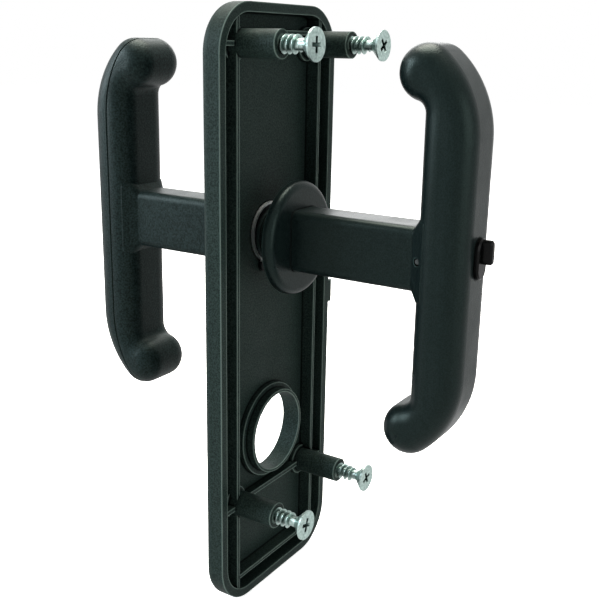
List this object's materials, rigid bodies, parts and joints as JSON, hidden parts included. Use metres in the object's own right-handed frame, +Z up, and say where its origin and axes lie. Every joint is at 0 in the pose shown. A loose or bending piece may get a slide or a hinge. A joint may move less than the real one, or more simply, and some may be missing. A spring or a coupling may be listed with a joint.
{
  "type": "door handle set",
  "caption": "Black T-handle pair on a square spindle, turning in a long hollow backplate with a cylinder hole, hollow screw bosses and countersunk screws.",
  "frame": {"origin": "where the spindle's axis crosses the plane of the backplate's rim, which lies on the door", "axes": "+Z up along the plate, +Y along the spindle towards the door and the inside handle, +X across the plate"},
  "size_m": [0.0688, 0.1522, 0.2042],
  "materials": {
    "plate_polyamide": "satin",
    "handle_polyamide": "satin",
    "turn_acetal": "gloss",
    "plated_steel": "satin",
    "spring_steel": "satin"
  },
  "bodies": {
    "plate": {"backplate": "plate_polyamide", "screw_top_near": "plated_steel", "screw_top_far": "plated_steel", "screw_bottom_near": "plated_steel", "screw_bottom_far": "plated_steel"},
    "handles": {"inside_handle_body": "handle_polyamide", "outside_handle_body": "handle_polyamide", "outside_grip_cover": "handle_polyamide", "spindle": "plated_steel", "cross_pin": "spring_steel", "retaining_ring": "spring_steel"},
    "turn": {"thumb_turn": "turn_acetal", "thumb_turn_clip": "spring_steel"}
  },
  "joints": [
    {"name": "handle_turn", "type": "hinge", "parent": "plate", "child": "handles", "pos_m": [0, 0, 0], "axis": [0, 1, 0], "range_deg": [-90, 90]},
    {"name": "thumb_turn_turn", "type": "hinge", "parent": "handles", "child": "turn", "pos_m": [0, 0.0717, 0], "axis": [0, 1, 0], "range_deg": [0, 90]}
  ]
}
